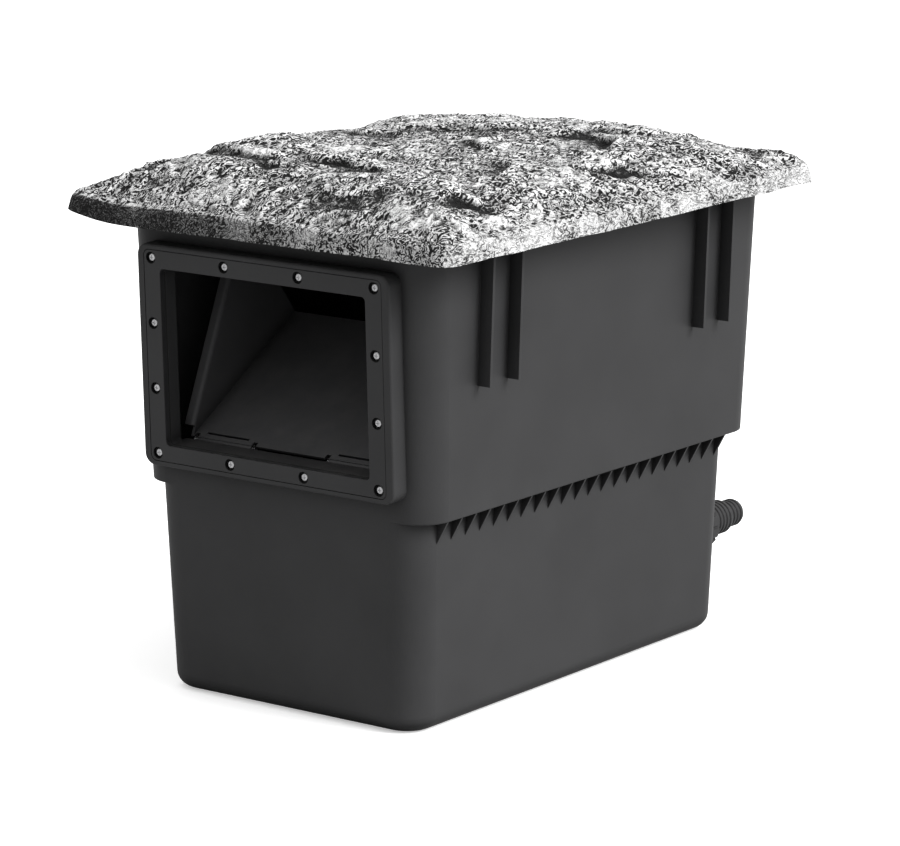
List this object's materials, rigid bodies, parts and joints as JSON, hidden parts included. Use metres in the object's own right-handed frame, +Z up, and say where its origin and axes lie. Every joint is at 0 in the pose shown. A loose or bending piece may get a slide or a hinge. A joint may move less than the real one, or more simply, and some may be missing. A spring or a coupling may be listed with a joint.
{
  "type": "pond skimmer",
  "caption": "Built-in pond skimmer: tapered black tub, screwed inlet frame, hinged weir flap, basket, foam cartridges, hose tail and loose rock-look lid.",
  "frame": {"origin": "centre of the tub's underside, where it stands in its hole", "axes": "+Z up, +Y from the inlet to the hose outlet, +X to the right of someone who faces the inlet"},
  "size_m": [0.526, 0.7561, 0.5931],
  "materials": {
    "black_plastic": "fine satin moulded black plastic",
    "weir_plastic": "satin moulded black plastic",
    "basket_plastic": "satin moulded black plastic",
    "grid_plastic": "plain moulded dark grey plastic",
    "rubber": "dull black rubber",
    "stainless_steel": "plain stainless steel",
    "float_foam": "skinned closed-cell foam",
    "coarse_foam": "open coarse filter foam, dark blue",
    "fine_foam": "open fine filter foam, black",
    "rock_resin": "cast resin textured and speckled like grey granite"
  },
  "bodies": {
    "skimmer": {"tub": "black_plastic", "faceplate": "black_plastic", "faceplate_gasket": "rubber", "faceplate_screws": "stainless_steel", "weir_hinge_pins": "stainless_steel", "partition": "grid_plastic", "cartridge_rack": "grid_plastic", "rack_grid": "grid_plastic", "rack_screws": "stainless_steel", "bulkhead_body": "black_plastic", "bulkhead_seal": "rubber", "bulkhead_nut": "black_plastic", "tail_seal": "rubber", "tail_nut": "black_plastic", "hose_tail": "black_plastic", "inner_tail": "grid_plastic", "cable_grommet": "rubber", "lid_pads": "rubber"},
    "lid": {"rock_lid": "rock_resin"},
    "weir": {"weir_flap": "weir_plastic", "weir_float": "float_foam", "float_caps": "weir_plastic"},
    "basket": {"debris_basket": "basket_plastic"},
    "bail": {"basket_handle": "basket_plastic"},
    "coarse_cartridge": {"coarse_foam_frame": "grid_plastic", "coarse_foam": "coarse_foam"},
    "fine_cartridge": {"fine_foam_frame": "grid_plastic", "fine_foam": "fine_foam"}
  },
  "joints": [
    {"name": "lid_lift", "type": "slide", "parent": "skimmer", "child": "lid", "axis": [0, 0, 1], "range_m": [0, 0.6]},
    {"name": "weir_swing", "type": "hinge", "parent": "skimmer", "child": "weir", "pos_m": [0, -0.27998, 0.27948], "axis": [1, 0, 0], "range_deg": [0, 26]},
    {"name": "basket_lift", "type": "slide", "parent": "skimmer", "child": "basket", "axis": [0, 0, 1], "range_m": [0, 0.48]},
    {"name": "bail_swing", "type": "hinge", "parent": "basket", "child": "bail", "pos_m": [0, -0.022, 0.249], "axis": [1, 0, 0], "range_deg": [0, 180]},
    {"name": "coarse_lift", "type": "slide", "parent": "skimmer", "child": "coarse_cartridge", "axis": [0, 0, 1], "range_m": [0, 0.54]},
    {"name": "fine_lift", "type": "slide", "parent": "skimmer", "child": "fine_cartridge", "axis": [0, 0, 1], "range_m": [0, 0.54]}
  ],
  "couplings": [
    {"joint": "basket_lift", "follows": "lid_lift", "ratio": 0.8},
    {"joint": "coarse_lift", "follows": "lid_lift", "ratio": 0.9},
    {"joint": "fine_lift", "follows": "lid_lift", "ratio": 0.9}
  ]
}
